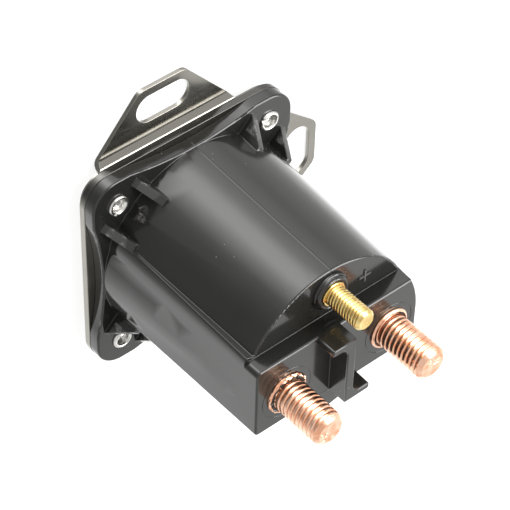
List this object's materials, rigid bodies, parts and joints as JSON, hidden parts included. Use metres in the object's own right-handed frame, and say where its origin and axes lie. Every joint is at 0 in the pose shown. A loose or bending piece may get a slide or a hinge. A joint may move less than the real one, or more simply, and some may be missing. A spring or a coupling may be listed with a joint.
{
  "type": "solenoid relay",
  "caption": "Sealed plunger solenoid relay: black moulded case riveted to a slotted mounting bracket, with copper power studs and a brass coil stud on top.",
  "frame": {"origin": "on the relay's axis, in the mounting plane at the back of the two ears", "axes": "+Z along the plunger towards the studs, +X towards the side ear, +Y towards the top ear and the coil stud"},
  "size_m": [0.0683, 0.0683, 0.0688],
  "materials": {
    "black_moulding": "black glass-filled moulding, fine satin grain",
    "zinc_plate": "zinc-plated sheet steel, rolled and sheared",
    "rivet_steel": "plated steel, rim rolled and bright",
    "copper": "bare copper, thread rolled",
    "brass": "bare brass, thread rolled",
    "seal_rubber": "black sealing rubber",
    "soft_iron": "turned or pressed soft iron",
    "bobbin_nylon": "natural nylon",
    "magnet_wire": "enamelled copper wire",
    "coil_tape": "polyester tape",
    "fibre": "vulcanised fibre",
    "spring_steel": "drawn spring wire"
  },
  "bodies": {
    "relay": {"housing": "black_moulding", "end_plate": "zinc_plate", "mounting_bracket": "zinc_plate", "flange_rivets": "rivet_steel", "left_power_stud": "copper", "right_power_stud": "copper", "coil_stud": "brass", "end_seal": "seal_rubber", "yoke_tube": "soft_iron", "flux_plate": "soft_iron", "bobbin": "bobbin_nylon", "winding": "magnet_wire", "coil_wrap": "coil_tape", "guide_sleeve": "brass", "fixed_core": "soft_iron", "bumper_washer": "fibre", "return_spring": "spring_steel", "start_lead": "magnet_wire", "earth_lead": "magnet_wire"},
    "plunger": {"plunger": "soft_iron", "plunger_rod": "spring_steel", "spring_seat": "spring_steel", "contact_spring": "spring_steel", "retaining_clip": "spring_steel"},
    "contact": {"lower_insulator": "fibre", "contact_disc": "copper", "upper_insulator": "fibre"}
  },
  "joints": [
    {"name": "plunger_slide", "type": "slide", "parent": "relay", "child": "plunger", "axis": [0, 0, 1], "range_m": [0, 0.0028], "stiffness_N_per_m": 1500, "springref_m": -0.003, "deforming": ["return_spring"]},
    {"name": "contact_slide", "type": "slide", "parent": "plunger", "child": "contact", "axis": [0, 0, 1], "range_m": [-0.0006, 0], "stiffness_N_per_m": 4000, "springref_m": 0.001, "deforming": ["contact_spring"]}
  ],
  "couplings": [
    {"joint": "contact_slide", "follows": "plunger_slide", "ratio": -0.2142}
  ]
}
